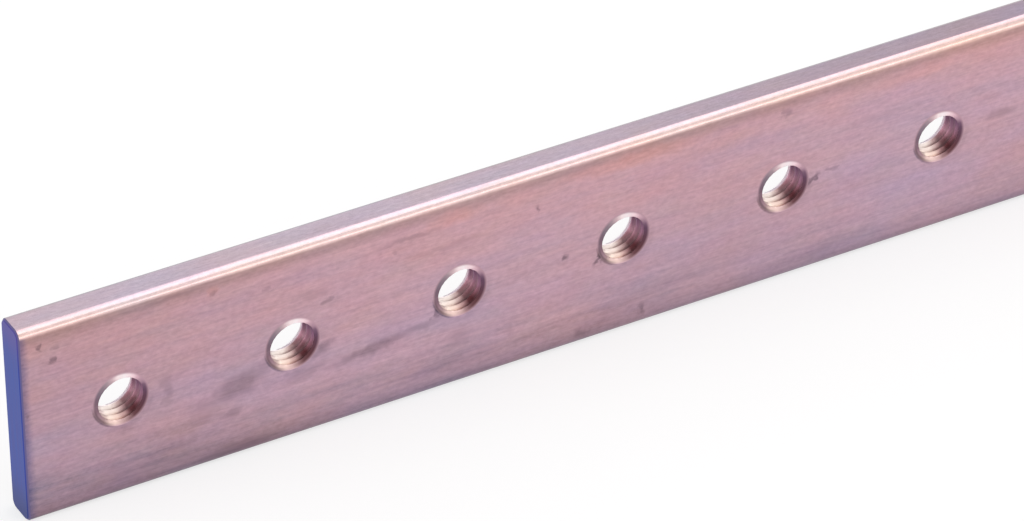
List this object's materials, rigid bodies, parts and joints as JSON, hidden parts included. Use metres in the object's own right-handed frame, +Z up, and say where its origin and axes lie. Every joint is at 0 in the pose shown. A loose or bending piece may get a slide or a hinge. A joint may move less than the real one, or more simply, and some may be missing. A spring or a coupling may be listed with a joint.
{
  "type": "earth terminal bar",
  "caption": "Flat copper strip with rounded long edges and a row of tapped, countersunk holes for earth wire terminal screws.",
  "frame": {"origin": "under the middle of the bar, on the long edge that it stands on", "axes": "+X along the bar, towards the end that the picture cuts off; +Y through the strip, from the front face to the back face; +Z up, across the strip's width"},
  "size_m": [0.253, 0.005, 0.03],
  "materials": {
    "copper": "drawn copper strip, dull, with lengthwise drawing lines, light tarnish and a few stains"
  },
  "bodies": {
    "root": {"bar": "copper"}
  },
  "joints": []
}
